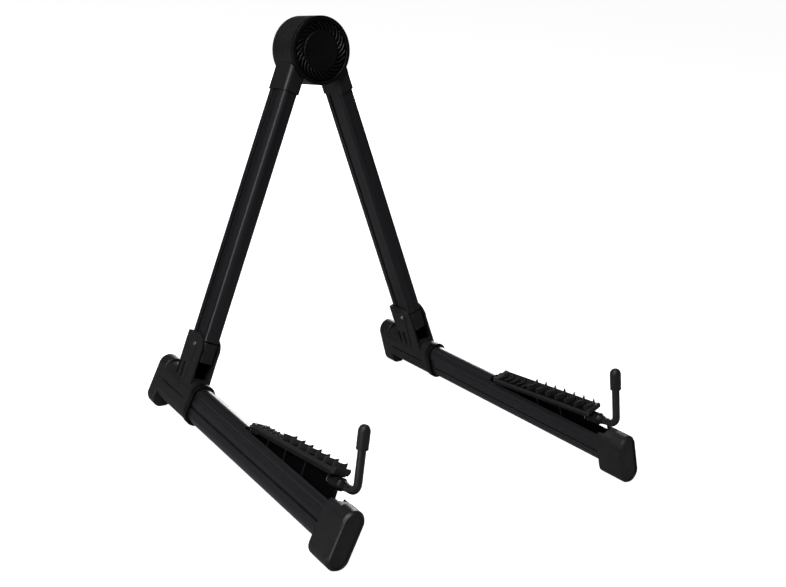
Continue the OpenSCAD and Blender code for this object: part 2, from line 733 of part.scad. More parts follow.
clip_room = 3.4;
hook_fwd = boss_front_s + hook_reach;
wire_back_s = boss_back_s - clip_room + 0.4;
sleeve_top = hook_h;
sleeve_bottom = hook_h - hook_sleeve_len;
wire_top = hook_h - 3.4;
bush_r = wire_r + 0.9 - run_gap;

module hook_bush(side) color("#2a2a2c") cradle_frame(side) translate([0, 0, wire_t]) difference() {
    union() {
        y_cylinder(bush_r, -boss_front_s - 0.6, -boss_back_s - 1.6);
        y_cylinder(boss_r, -boss_front_s - 1.2, -boss_front_s - run_gap);
    }
    y_cylinder(wire_r + run_gap, -boss_front_s - 3, -boss_back_s + past);
}

module hook_wire(side) color("#1f1f21") hook_frame(side) {
    difference() {
        translate([0, hook_fwd, 0]) y_cylinder(wire_r, -hook_fwd + bend_r, -wire_back_s);
        translate([0, hook_fwd, 0]) difference() {
            y_cylinder(wire_r + past, -boss_back_s + 1, -boss_back_s + 2);
            y_cylinder(wire_r - 0.7, -boss_back_s, -boss_back_s + 3);
        }
    }
    translate([0, bend_r, bend_r]) rotate([90, 0, 90]) rotate([0, 0, 180]) rotate_extrude(angle = 90)
        translate([bend_r, 0]) circle(wire_r);
    translate([0, 0, bend_r]) cylinder(r = wire_r, h = wire_top - bend_r);
}

module hook_sleeve(side) color("#0e0e0f") hook_frame(side) difference() {
    union() {
        translate([0, 0, sleeve_bottom]) cylinder(r = hook_sleeve_r,
            h = hook_sleeve_len - hook_sleeve_r);
        translate([0, 0, sleeve_top - hook_sleeve_r]) sphere(hook_sleeve_r);
    }
    translate([0, 0, sleeve_bottom - past]) cylinder(r = wire_r + run_gap,
        h = wire_top + seat_gap - sleeve_bottom + past);
}

module hook_clip(side) color("#d5d8dc") cradle_frame(side) translate([0, 0, wire_t]) difference() {
    y_cylinder(clip_r, -boss_back_s + 1.1, -boss_back_s + 1.9);
    y_cylinder(wire_r - 0.65, -boss_back_s, -boss_back_s + 3);
    translate([-wire_r * 0.6, -boss_back_s, -wire_r - 2]) cube([wire_r * 1.2, 3, wire_r + 2]);
}

left_head_housing();
right_head_housing();
head_axle();
head_axle_clip();
head_bezel();
head_button();
head_lock_ring();
head_button_spring();
head_opening_spring();
head_rear_cover();
head_cover_screws();
upright_tube(LEFT);  // left_upright_tube
upright_tube(RIGHT);  // right_upright_tube
knee_plug(LEFT);  // left_knee_plug
knee_plug(RIGHT);  // right_knee_plug
knee_pin(LEFT);  // left_knee_pin
knee_pin(RIGHT);  // right_knee_pin
knee_button(LEFT);  // left_knee_button
knee_button(RIGHT);  // right_knee_button
knee_spring(LEFT);  // left_knee_spring
knee_spring(RIGHT);  // right_knee_spring
foot_bracket(LEFT);  // left_foot_bracket
foot_bracket(RIGHT);  // right_foot_bracket
foot_collar(LEFT);  // left_foot_collar
foot_collar(RIGHT);  // right_foot_collar
foot_tube(LEFT);  // left_foot_tube
foot_tube(RIGHT);  // right_foot_tube
front_cap(LEFT);  // left_front_cap
front_cap(RIGHT);  // right_front_cap
rear_cap(LEFT);  // left_rear_cap
rear_cap(RIGHT);  // right_rear_cap
cradle_anchor(LEFT);  // left_cradle_anchor
cradle_anchor(RIGHT);  // right_cradle_anchor
cradle(LEFT);  // left_cradle
cradle(RIGHT);  // right_cradle
cradle_pin(LEFT);  // left_cradle_pin
cradle_pin(RIGHT);  // right_cradle_pin
rubber_pad(LEFT);  // left_rubber_pad
rubber_pad(RIGHT);  // right_rubber_pad
hook_bush(LEFT);  // left_hook_bush
hook_bush(RIGHT);  // right_hook_bush
hook_wire(LEFT);  // left_hook_wire
hook_wire(RIGHT);  // right_hook_wire
hook_sleeve(LEFT);  // left_hook_sleeve
hook_sleeve(RIGHT);  // right_hook_sleeve
hook_clip(LEFT);  // left_hook_clip
hook_clip(RIGHT);  // right_hook_clip
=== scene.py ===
# %% [markdown]
# # A folding guitar stand
# The real object is a small black stand that folds flat: two aluminium legs meet in a round plastic
# hinge, and each leg carries a sloping foot with a rubber pad and a wire hook. Its shapes were
# built and measured as solids first. This notebook loads those solids as a fixed frame and
# dresses them, piece by piece, with softer edges, finer parts and real finishes.

# %% Load the measured solids
import json
import math
import bmesh
import bpy
from mathutils import Matrix, Vector


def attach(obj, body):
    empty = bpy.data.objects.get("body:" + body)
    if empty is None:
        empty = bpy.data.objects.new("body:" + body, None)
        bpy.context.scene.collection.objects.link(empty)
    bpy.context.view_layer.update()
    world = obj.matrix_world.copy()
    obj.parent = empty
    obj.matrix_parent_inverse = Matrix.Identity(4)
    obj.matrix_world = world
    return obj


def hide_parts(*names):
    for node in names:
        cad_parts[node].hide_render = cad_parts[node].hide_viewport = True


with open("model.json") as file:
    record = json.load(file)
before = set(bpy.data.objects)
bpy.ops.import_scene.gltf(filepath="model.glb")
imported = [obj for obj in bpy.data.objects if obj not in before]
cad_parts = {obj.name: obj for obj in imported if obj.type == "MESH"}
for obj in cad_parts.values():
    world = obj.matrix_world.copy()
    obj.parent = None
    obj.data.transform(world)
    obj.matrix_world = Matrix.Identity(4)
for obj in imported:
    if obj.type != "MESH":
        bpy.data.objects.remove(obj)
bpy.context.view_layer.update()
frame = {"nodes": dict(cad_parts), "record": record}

# %% [markdown]
# The stand leans back and its legs spread, so nothing on it is square to the room. Each part is
# drawn in a frame of its own, in millimetres, where it is easy to draw. A matrix for each frame
# then carries it to its true place. The same few sizes that shaped the solids give the matrices.

# %% The stand's own frames
LEG_LEN, LEG_ANGLE, LEG_OFFSET, FOOT_SLOPE = 290.0, 21.2, 12.8, 8.6
FOOT_FRONT, CAP_H, CAP_W, CAP_FLAT = 237.5, 42.0, 17.4, 0.5
DRUM_R, DRUM_DEPTH = 26.8, 30.0
CRADLE_FWD, CRADLE_UP, CRADLE_RISE = 101, 18, 7
LEFT, RIGHT = -1, 1
SIDES = {LEFT: "left", RIGHT: "right"}
# The hook's wire runs this far below the pad's plate and turns up this far in front of its pin
HOOK_DROP, HOOK_FWD = 4, 127.5
HOOK_REST = {LEFT: 14.5, RIGHT: 14}
MM = 0.001


def turned(degrees, axis):
    return Matrix.Rotation(math.radians(degrees), 4, axis)


def sin(degrees):
    return math.sin(math.radians(degrees))


def cos(degrees):
    return math.cos(math.radians(degrees))


LEAN = math.degrees(math.atan(math.tan(math.radians(FOOT_SLOPE)) * cos(LEG_ANGLE)))
rise = LEG_LEN * cos(LEG_ANGLE) - LEG_OFFSET * sin(LEG_ANGLE)
half_w = CAP_W / 2
foot_z = half_w + (CAP_H / 2 - half_w) * math.sqrt(1 - (sin(LEG_ANGLE) * cos(LEAN)) ** 2) - CAP_FLAT
head_z = foot_z + rise * cos(LEAN)
front_y = -rise * sin(LEAN) - FOOT_FRONT * math.sqrt(1 - (sin(FOOT_SLOPE) * sin(LEG_ANGLE)) ** 2)
head_y = -(front_y + DRUM_DEPTH / 2 * cos(LEAN) + DRUM_R * sin(LEAN)) / 2

HEAD = Matrix.Translation((0, head_y, head_z)) @ turned(-LEAN, "X")
LEG = {s: HEAD @ turned(-s * LEG_ANGLE, "Y") @ Matrix.Translation((s * LEG_OFFSET, 0, -LEG_LEN))
       @ Matrix.Diagonal((s, 1, 1, 1)) for s in SIDES}
FOOT = {s: LEG[s] @ turned(FOOT_SLOPE, "X") for s in SIDES}
CRADLE = {s: FOOT[s] @ Matrix.Translation((0, -CRADLE_FWD, CRADLE_UP)) @ turned(-CRADLE_RISE, "X")
          for s in SIDES}
HOOK = {s: CRADLE[s] @ Matrix.Translation((0, -HOOK_FWD, -HOOK_DROP)) @ turned(HOOK_REST[s], "Y")
        for s in SIDES}
print("head centre at", [round(v, 1) for v in HEAD.translation], "mm")

# %% [markdown]
# Every finish is built from shader nodes. Two helpers keep that short: one turns a colour, given
# as sRGB hex, into the linear numbers that the renderer wants, and one adds a node with
# its settings and its links.

# %% Colour and node helpers
def colour(hex_code):
    parts = [int(hex_code[i:i + 2], 16) / 255 for i in (1, 3, 5)]
    return [c / 12.92 if c <= 0.04045 else ((c + 0.055) / 1.055) ** 2.4 for c in parts] + [1.0]


def add(tree, kind, links=(), **settings):
    """Adds a node. Settings that name an input set its value, others set the node itself."""
    new = tree.nodes.new(kind)
    for key, value in settings.items():
        if key in new.inputs:
            new.inputs[key].default_value = value
        else:
            setattr(new, key, value)
    for socket, source in links:
        tree.links.new(source, new.inputs[socket])
    return new


def new_finish(name, base, rough, **settings):
    """A material with one Principled shader; its even values sit on the shader's own sockets."""
    material = bpy.data.materials.new(name)
    material.use_nodes = True
    tree = material.node_tree
    tree.nodes.clear()
    shader = add(tree, "ShaderNodeBsdfPrincipled")
    shader.inputs["Base Color"].default_value = colour(base)
    shader.inputs["Roughness"].default_value = rough
    for key, value in settings.items():
        shader.inputs[key.replace("_", " ")].default_value = value
    add(tree, "ShaderNodeOutputMaterial", [("Surface", shader.outputs[0])])
    place = add(tree, "ShaderNodeTexCoord").outputs["Object"]
    return material, tree, shader, place


def along(tree, place, turn, stretch):
    """Coordinates in a piece's own frame, drawn out along its length."""
    node = add(tree, "ShaderNodeMapping", [("Vector", place)], Rotation=turn, Scale=stretch)
    node.vector_type = "TEXTURE"
    return node.outputs[0]


def grain(tree, shader, place, size_mm, height_mm, strength, detail=2.0, stretch=None, turn=None):
    """A bump whose bumps are size_mm across. Stretch and turn lay it along a piece's length."""
    if stretch:
        place = along(tree, place, turn, stretch)
    noise = add(tree, "ShaderNodeTexNoise", [("Vector", place)], Scale=1000 / size_mm, Detail=detail,
                Roughness=0.55)
    bump = add(tree, "ShaderNodeBump", [("Height", noise.outputs["Fac"])], Strength=strength,
               Distance=height_mm / 1000)
    tree.links.new(bump.outputs[0], shader.inputs["Normal"])


# Nearly all of a noise's values lie between these two
NOISE_SPAN = (0.35, 0.65)


def vary(tree, shader, place, socket, low, high, size_mm, stretch=None, turn=None):
    """Lets a value drift softly over the surface, in patches size_mm across."""
    if stretch:
        place = along(tree, place, turn, stretch)
    noise = add(tree, "ShaderNodeTexNoise", [("Vector", place)], Scale=1000 / size_mm, Detail=3.0)
    if socket == "Base Color":
        ramp = add(tree, "ShaderNodeValToRGB", [("Fac", noise.outputs["Fac"])])
        for stop, at, hex_code in zip(ramp.color_ramp.elements, NOISE_SPAN, (low, high)):
            stop.position, stop.color = at, colour(hex_code)
        tree.links.new(ramp.outputs["Color"], shader.inputs[socket])
    else:
        span = add(tree, "ShaderNodeMapRange", [("Value", noise.outputs["Fac"])], **{
            "From Min": NOISE_SPAN[0], "From Max": NOISE_SPAN[1], "To Min": low, "To Max": high})
        tree.links.new(span.outputs["Result"], shader.inputs[socket])


# %% [markdown]
# ** Moulded ABS** makes the hinge head, knee brackets and end caps. Its mould was spark-eroded, so
# the skin has a fine leathery grain that spreads the highlights wide. The real grain is about
# 0.3 mm, drawn here at 0.7 mm so that it shows at this size. The cradle's thin web lies in shade
# under its plate. That shade is painted: the web's finish is near black, darker than its ribs.

# %% Moulded ABS finishes
def moulded_abs(name, base, deep, rough, shine=0.5):
    material, tree, shader, place = new_finish(name, base, rough, IOR=1.53, Specular_IOR_Level=shine)
    vary(tree, shader, place, "Base Color", deep, base, 26)
    vary(tree, shader, place, "Roughness", rough - 0.05, rough + 0.05, 9)
    grain(tree, shader, place, 0.7, 0.05, 0.35)
    return material


ABS_HOUSING = moulded_abs("ABS spark eroded housing", "#1b1b1c", "#171718", 0.46)
ABS_CAP = moulded_abs("ABS spark eroded cap", "#1d1d1f", "#18181a", 0.44)
ABS_BRACKET = moulded_abs("ABS spark eroded bracket", "#1b1b1d", "#161617", 0.48)
# Partly painted shade: a smooth ABS with a darker colour, so that the bezel and the button's face, which
# face the front where little light falls, read dark
ABS_SMOOTH_PAINTED_SHADE = moulded_abs("ABS polished mould, painted shade", "#0c0c0d", "#090909", 0.4, 0.25)
NYLON_CRADLE = moulded_abs("nylon moulded cradle", "#0c0c0d", "#080809", 0.5, 0.3)
# Painted shade: a near-black finish for the cradle's web, which the plate above shades
NYLON_WEB_PAINTED_SHADE = moulded_abs("nylon web painted shade", "#040404", "#030303", 0.7, 0.04)

# %% [markdown]
# **Anodised aluminium** makes the legs and feet. The tubes are pressed through a die, which leaves
# faint lines along their length, then dyed black under a clear oxide. The metal shows through as a
# cool, satin sheen. The lines must run along each tube, so the pattern is turned to it: one
# finish for each tube, all with the same numbers.

# %% Anodised aluminium, one for each tube
DIE_LINES = (1.0, 1.0, 60.0)


def anodised(name, base, deep, rough, lies):
    """lies is the tube's frame; its long axis is that frame's Z."""
    material, tree, shader, place = new_finish(name, base, rough, Metallic=0.45)
    turn = lies.to_3x3().normalized().to_euler()
    vary(tree, shader, place, "Base Color", deep, base, 5, DIE_LINES, turn)
    vary(tree, shader, place, "Roughness", rough - 0.02, rough + 0.03, 3, DIE_LINES, turn)
    grain(tree, shader, place, 2.5, 0.004, 0.05, 1.0, DIE_LINES, turn)
    return material


def right_handed(matrix):
    """A mirrored frame as a pure turn, with the same long axis."""
    return matrix @ Matrix.Diagonal((-1, 1, 1, 1)) if matrix.determinant() < 0 else matrix


LEG_METAL = {s: anodised("anodised aluminium leg " + SIDES[s], "#36363a", "#242427", 0.3,
                         right_handed(LEG[s])) for s in SIDES}
FOOT_METAL = {s: anodised("anodised aluminium foot " + SIDES[s], "#36363b", "#252529", 0.28,
                          right_handed(FOOT[s]) @ turned(90, "X")) for s in SIDES}

# %% [markdown]
# ** Rubber** covers the pads and the hooks' ends. It is matt, with a dusty bloom that lightens it at
# a glancing view, which a little sheen gives. A pad's floor has no sheen, and its near-black colour
# is painted shade between its fins. The fins and rims get a lighter colour, painted light.
# **Coated wire** is steel rod under a black powder coat that flows like orange peel. **Bright steel**
# shows only at the pins, screws and springs.

# %% Rubber, coated wire and steel
def rubber(name, base, deep, rough, shine=0.5, dust=0.12):
    material, tree, shader, place = new_finish(name, base, rough, IOR=1.5)
    shader.inputs["Specular IOR Level"].default_value = shine
    shader.inputs["Sheen Weight"].default_value = dust
    shader.inputs["Sheen Roughness"].default_value = 0.5
    vary(tree, shader, place, "Base Color", deep, base, 6)
    grain(tree, shader, place, 0.5, 0.06, 0.4)
    return material


# Painted shade: the pad's floor between the fins is near black
PAD_RUBBER_PAINTED_SHADE = rubber("natural rubber pad floor painted shade", "#070707", "#050505", 0.7, 0.08, 0.0)
# Painted light: the fins and rims are lighter than the floor
FIN_RUBBER_PAINTED_LIGHT = rubber("natural rubber fins painted light", "#131313", "#0d0d0d", 0.58)
SLEEVE_RUBBER = rubber("vinyl dipped sleeve", "#111112", "#0c0c0d", 0.5)


def coated_wire():
    material, tree, shader, place = new_finish("powder coated wire", "#19191b", 0.4)
    shader.inputs["Coat Weight"].default_value = 0.3
    shader.inputs["Coat Roughness"].default_value = 0.3
    grain(tree, shader, place, 2.2, 0.05, 0.3)
    return material


WIRE_COAT = coated_wire()


def bright_steel(name, base, rough, turned_mm):
    material, tree, shader, place = new_finish(name, base, rough, Metallic=1.0)
    vary(tree, shader, place, "Roughness", rough - 0.06, rough + 0.08, turned_mm)
    grain(tree, shader, place, turned_mm, 0.01, 0.2)
    return material


PIN_STEEL = bright_steel("turned steel pin", "#c9cbce", 0.24, 0.6)
SPRING_STEEL = bright_steel("drawn spring wire", "#9b9ea2", 0.3, 0.5)
SCREW_STEEL = bright_steel("blackened screw steel", "#3a3a3d", 0.38, 0.6)
LOCK_STEEL = bright_steel("stamped zinc steel", "#84868a", 0.4, 0.9)

# %% [markdown]
# A moulded or sawn edge is never a knife edge: a small round catches the light and makes a part
# look real. Most solids have the right shape already, so a copy of each gets its triangles merged
# back into faces, and the Bevel modifier rounds its corners. The copy then stands for the solid.

# %% Finishing a piece
def link(name, mesh):
    piece = bpy.data.objects.new(name, mesh)
    bpy.context.scene.collection.objects.link(piece)
    return piece


def baked(piece):
    """Turns what the modifiers make into a plain mesh, and removes them."""
    view = bpy.context.evaluated_depsgraph_get()
    mesh = bpy.data.meshes.new_from_object(piece.evaluated_get(view))
    old = piece.data
    piece.modifiers.clear()
    piece.data = mesh
    mesh.name = piece.name
    bpy.data.meshes.remove(old)
    return piece


def rounded(piece, width_mm, segments=2, angle=30):
    """Rounds the sharp edges, then lets the wide faces rule the shading."""
    if width_mm:
        edge = piece.modifiers.new("edges", "BEVEL")
        edge.width, edge.segments = width_mm / 1000, segments
        edge.limit_method, edge.angle_limit = "ANGLE", math.radians(angle)
        edge.miter_outer = "MITER_ARC"
        edge.use_clamp_overlap = True
    for face in piece.data.polygons:
        face.use_smooth = True
    even = piece.modifiers.new("shading", "WEIGHTED_NORMAL")
    even.keep_sharp = True
    return baked(piece)


def dress(piece, material, body, slot, *hidden):
    """Gives a finished piece its material and its body, and hides the solids it stands for."""
    piece.data.materials.clear()
    piece.data.materials.append(material)
    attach(piece, body)
    if hidden:
        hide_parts(*hidden)
    return piece


def build(name, mesh_in_mm, place, width_mm=0.0, segments=2, angle=30):
    """Takes a drawing in a frame's millimetres to its place, outside out, and rounds it."""
    mesh_in_mm.transform(Matrix.Scale(MM, 4) @ place)
    bmesh.ops.remove_doubles(mesh_in_mm, verts=mesh_in_mm.verts, dist=1e-6)
    bmesh.ops.recalc_face_normals(mesh_in_mm, faces=mesh_in_mm.faces)
    mesh = bpy.data.meshes.new(name)
    mesh_in_mm.to_mesh(mesh)
    mesh_in_mm.free()
    return rounded(link(name, mesh), width_mm, segments, angle)


def softened(node, width_mm, segments=2, angle=30):
    """A copy of a solid with its flat triangles merged and its edges rounded."""
    copy = bmesh.new()
    copy.from_mesh(frame["nodes"][node].data)
    bmesh.ops.remove_doubles(copy, verts=copy.verts, dist=2e-6)
    bmesh.ops.dissolve_degenerate(copy, dist=2e-6, edges=copy.edges)
    bmesh.ops.dissolve_limit(copy, angle_limit=math.radians(0.6), verts=copy.verts, edges=copy.edges)
    mesh = bpy.data.meshes.new(node + "_visual")
    copy.to_mesh(mesh)
    copy.free()
    return rounded(link(node + "_visual", mesh), width_mm, segments, angle)


SLOTS = {entry["node"]: entry["material_slot"] for entry in frame["record"]["subparts"]}
BODY_OF = {node: body for body, nodes in frame["record"]["behaviour"]["bodies"].items()
           for node in nodes}


def soften(node, width_mm, material, **how):
    return dress(softened(node, width_mm, **how), material, BODY_OF[node], SLOTS[node], node)


def refinish(node, material):
    """Keeps a solid as it is and only changes its finish."""
    for entry in frame["nodes"][node].material_slots:
        entry.material = material


def second_tone(piece, place, material, chosen):
    """Gives another finish to the faces for which chosen(centre in mm, normal) holds in a frame."""
    piece.data.materials.append(material)
    flat = place.inverted()
    for face in piece.data.polygons:
        face.material_index = int(chosen(flat @ (face.center * 1000), flat.to_3x3() @ face.normal))


# %% [markdown]
# ## What repeats
# Vanes, fins and ribs come in rows. One Geometry Nodes tree serves them all: it takes the mesh of
# one, and sets copies a step or a turn apart. Its count, step and turn are named inputs.

# %% A tree that sets copies in a row or a ring
def repeat_tree():
    tree = bpy.data.node_groups.new("set copies apart", "GeometryNodeTree")
    face = tree.interface
    face.new_socket("Geometry", in_out="INPUT", socket_type="NodeSocketGeometry")
    for name, kind in (("Count", "Int"), ("Step", "Vector"), ("Turn", "Vector"),
                       ("Material", "Material")):
        face.new_socket(name, in_out="INPUT", socket_type="NodeSocket" + kind)
    face.new_socket("Geometry", in_out="OUTPUT", socket_type="NodeSocketGeometry")
    given = add(tree, "NodeGroupInput").outputs
    index = add(tree, "GeometryNodeInputIndex").outputs[0]
    step = add(tree, "ShaderNodeVectorMath", [(0, given["Step"]), (1, index)], operation="MULTIPLY")
    turn = add(tree, "ShaderNodeVectorMath", [(0, given["Turn"]), (1, index)], operation="MULTIPLY")
    spots = add(tree, "GeometryNodePoints", [("Count", given["Count"]), ("Position", step.outputs[0])])
    copies = add(tree, "GeometryNodeInstanceOnPoints", [
        ("Points", spots.outputs[0]), ("Instance", given["Geometry"]), ("Rotation", turn.outputs[0])])
    real = add(tree, "GeometryNodeRealizeInstances", [("Geometry", copies.outputs[0])])
    named = add(tree, "GeometryNodeSetMaterial", [
        ("Geometry", real.outputs[0]), ("Material", given["Material"])])
    add(tree, "NodeGroupOutput", [("Geometry", named.outputs[0])])
    return tree


REPEAT = repeat_tree()


def repeated(one, count, material, step=(0, 0, 0), turn=(0, 0, 0)):
    """Runs the tree on the mesh of one piece and hands back all copies as a drawing in millimetres."""
    mesh = bpy.data.meshes.new("one of a row")
    one.to_mesh(mesh)
    one.free()
    piece = link("row", mesh)
    mod = piece.modifiers.new("row", "NODES")
    mod.node_group = REPEAT
    values = {"Count": count, "Step": step, "Turn": turn, "Material": material}
    for item in REPEAT.interface.items_tree:
        if item.in_out == "INPUT" and item.name in values:
            mod[item.identifier] = values[item.name]
    baked(piece)
    row = bmesh.new()
    row.from_mesh(piece.data)
    bpy.data.objects.remove(piece)
    return row


# %% [markdown]
# ## Drawing closed shapes
# Nearly every part here is a section drawn once and carried along a line, so one helper joins a
# list of rings into a closed skin, and another lathes a profile round an axis.

# %% Rings, lathes and joins
def loft(rings):
    """Joins rings of equally many points; the first and last are closed with a face."""
    drawing = bmesh.new()
    rows = [[drawing.verts.new(point) for point in ring] for ring in rings]
    for low, high in zip(rows, rows[1:]):
        for i in range(len(low)):
            j = (i + 1) % len(low)
            drawing.faces.new((low[i], low[j], high[j], high[i]))
    drawing.faces.new(reversed(rows[0]))
    drawing.faces.new(rows[-1])
    return drawing


def lathe(profile, sides=48, axis="Z"):
    """Turns (radius, height) points round an axis. Both ends are closed with a face."""
    rings = []
    for radius, height in profile:
        wide = max(radius, 0.001)
        ring = [(wide * math.cos(2 * math.pi * i / sides),
                 wide * math.sin(2 * math.pi * i / sides), height) for i in range(sides)]
        rings.append([(x, h, z) if axis == "Y" else (x, z, h) for x, z, h in ring])
    return loft(rings)


def joined(*drawings):
    """Puts several drawings in one."""
    whole = drawings[0]
    for other in drawings[1:]:
        mesh = bpy.data.meshes.new("join")
        other.to_mesh(mesh)
        other.free()
        whole.from_mesh(mesh)
        bpy.data.meshes.remove(mesh)
    return whole


# %% [markdown]
# ## The legs
# Each leg is an extruded tube. Its section has round corners, so that the light falls off softly
# from the side to the front, and a deep groove along each side near the rear, which shows as a
# black line down the leg. The lower end is sawn off square between the cheeks of the knee.

# %% Upright tubes
TUBE_W, TUBE_D = 13.4, 23.6
TUBE_BOTTOM, TUBE_TOP = 47.7, 262.6
FRONT_R, REAR_R = 3.4, 2.8
GROOVE_IN, GROOVE_W, GROOVE_DEEP, GROOVE_DRAFT = 7.6, 2.4, 2.4, 0.2


def arc(cx, cy, r, start, end, steps=6):
    turns = [start + (end - start) * i / steps for i in range(steps + 1)]
    return [(cx + r * cos(a), cy + r * sin(a)) for a in turns]


def tube_section():
    """One half of the outline, from the middle of the front to the middle of the rear, mirrored."""
    w, d = TUBE_W / 2, TUBE_D / 2
    middle = d - GROOVE_IN
    half = [(0, -d)] + arc(w - FRONT_R, -d + FRONT_R, FRONT_R, -90, 0)
    half += [(w, middle - GROOVE_W / 2), (w - GROOVE_DEEP, middle - GROOVE_W / 2 + GROOVE_DRAFT),
             (w - GROOVE_DEEP, middle + GROOVE_W / 2 - GROOVE_DRAFT), (w, middle + GROOVE_W / 2)]
    half += arc(w - REAR_R, d - REAR_R, REAR_R, 0, 90) + [(0, d)]
    return half + [(-x, y) for x, y in reversed(half[1:-1])]


def upright(side):
    outline = tube_section()
    rings = [[(x, y, z) for x, y in outline] for z in (TUBE_BOTTOM, TUBE_TOP)]
    name = SIDES[side] + "_upright_tube"
    piece = build(name + "_visual", loft(rings), LEG[side], 0.18, 2, 28)
    return dress(piece, LEG_METAL[side], BODY_OF[name], SLOTS[name], name)


for side in SIDES:
    print(upright(side).name, "section", TUBE_W, "x", TUBE_D, "mm")

# %% [markdown]
# ## The hinge head
# Two cups stand back to back, each moulded in one with the socket of its leg. The front one holds a
# big push button: a smooth middle, and round it 28 curved vanes like a fan's, which give the thumb
# a grip. A vane has a flat top and falls away on one side, so the ring glints.

# %% Housings, lip and rear cover
for node in ("left_head_housing", "right_head_housing"):
    soften(node, 0.7, ABS_HOUSING, segments=3, angle=40)
# The bezel's darker finish is painted shade on its front
soften("head_bezel", 0.7, ABS_SMOOTH_PAINTED_SHADE, segments=3, angle=40)
soften("head_rear_cover", 0.6, ABS_HOUSING, segments=3, angle=40)

# %% The push button with its vanes
DRUM_FRONT = -DRUM_DEPTH / 2
BOSS_R, VANE_OUT, VANE_COUNT = 15.8, 23.3, 28
# How deep a vane's foot and crest lie behind the drum's front, and how far its tip sweeps round
VANE_BASE, VANE_TOP, VANE_SWEEP = 3.0, 0.7, 24
# The button's outline: radius, and depth behind the drum's front
BUTTON_OUTLINE = [(0, 0.75), (11.5, 0.62), (14.2, 0.4), (15.0, 0.35), (15.6, 0.55), (BOSS_R, 1.0),
                  (BOSS_R, 2.8), (24.0, 2.8), (24.3, 3.2), (24.3, 4.05), (5.0, 4.05), (5.0, 6.25),
                  (0, 6.25)]


def vane():
    """One curved vane from the boss to the rim, in the head's frame."""
    base, top = DRUM_FRONT + VANE_BASE, DRUM_FRONT + VANE_TOP
    pitch = 360 / VANE_COUNT
    rings = []
    for t in (i / 8 for i in range(9)):
        r = BOSS_R - 0.3 + (VANE_OUT - BOSS_R + 0.3) * t
        sweep = VANE_SWEEP * t ** 1.25
        crown = top + 0.35 * (2 * t - 1) ** 2
        section = ((0.0, base), (0.05, crown), (0.44, crown + 0.1), (0.56, base - 0.3), (0.6, base))
        rings.append([(r * cos(sweep + pitch * share), y, r * sin(sweep + pitch * share))
                      for share, y in section])
    return loft(rings)


def push_button():
    # The button's darker finish is partly painted shade on its face
    vanes = repeated(vane(), VANE_COUNT, ABS_SMOOTH_PAINTED_SHADE, turn=(0, math.radians(360 / VANE_COUNT), 0))
    disc = lathe([(r, DRUM_FRONT + depth) for r, depth in BUTTON_OUTLINE], 96, "Y")
    piece = build("head_button_visual", joined(disc, vanes), HEAD, 0)
    return dress(piece, ABS_SMOOTH_PAINTED_SHADE, "head_push_button", "button", "head_button")


print(push_button().name, "with", VANE_COUNT, "vanes")

# %% [markdown]
# ## Knees and feet
# The knee bracket is one moulding: two cheeks that straddle the leg, a low front wall, and a sleeve
# round the foot. Its shape is in the solids, so only its edges are rounded here.

# %% Knee and foot mouldings
for side, name in SIDES.items():
    soften(name + "_knee_plug", 0.4, ABS_BRACKET)
    soften(name + "_knee_button", 0.6, ABS_BRACKET)
    soften(name + "_foot_bracket", 0.45, ABS_BRACKET, angle=35)
    soften(name + "_foot_collar", 0.25, ABS_SMOOTH_PAINTED_SHADE)
    soften(name + "_front_cap", 0.6, ABS_CAP, segments=3, angle=35)
    soften(name + "_rear_cap", 1.2, ABS_CAP, segments=3, angle=35)
    soften(name + "_knee_pin", 0.3, PIN_STEEL)
    soften(name + "_cradle_pin", 0.3, PIN_STEEL)

# %% [markdown]
# ## The foot tubes
# A foot's tube is an oval extrusion. Along each side runs a wide raised strip with a narrow groove
# below it, and its upper edge casts a fine line down the whole foot. The slot in its top, which
# the wedge dips into, is cut with a Boolean, the quickest way to open one wall of a closed tube.

# %% Foot tubes
FOOT_REAR, FOOT_HH, FOOT_HW, FOOT_UP, SLOT_W = 46.0, 14.2, 7.6, 3.0, 9.2
SLOT_REAR, SLOT_FRONT = 94.0, 218.0
WALL = 1.4
# The strip's step, and the groove's depth and its upper and lower lip
STRIP_PROUD, FOOT_GROOVE_DEEP, FOOT_GROOVE_TOP, FOOT_GROOVE_END = 0.5, 1.3, -1.2, -2.8


def foot_section(wall):
    """Half an outline from top to bottom, mirrored: round ends, a raised strip, a groove."""
    hw = FOOT_HW - wall
    straight = FOOT_HH - FOOT_HW
    half = [(hw * sin(a), straight + hw * cos(a)) for a in range(0, 76, 15)]
    if wall:
        half += [(hw, straight), (hw, -straight)]
    else:
        half += [(hw - STRIP_PROUD, straight + 1.4), (hw - STRIP_PROUD, straight + 0.6),
                 (hw, straight), (hw, FOOT_GROOVE_TOP), (hw - FOOT_GROOVE_DEEP, FOOT_GROOVE_TOP - 0.1),
                 (hw - FOOT_GROOVE_DEEP, FOOT_GROOVE_END + 0.1), (hw, FOOT_GROOVE_END),
                 (hw, -straight)]
    half += [(hw * sin(a), -straight + hw * cos(a)) for a in range(105, 181, 15)]
    return half + [(-x, z) for x, z in reversed(half[1:-1])]


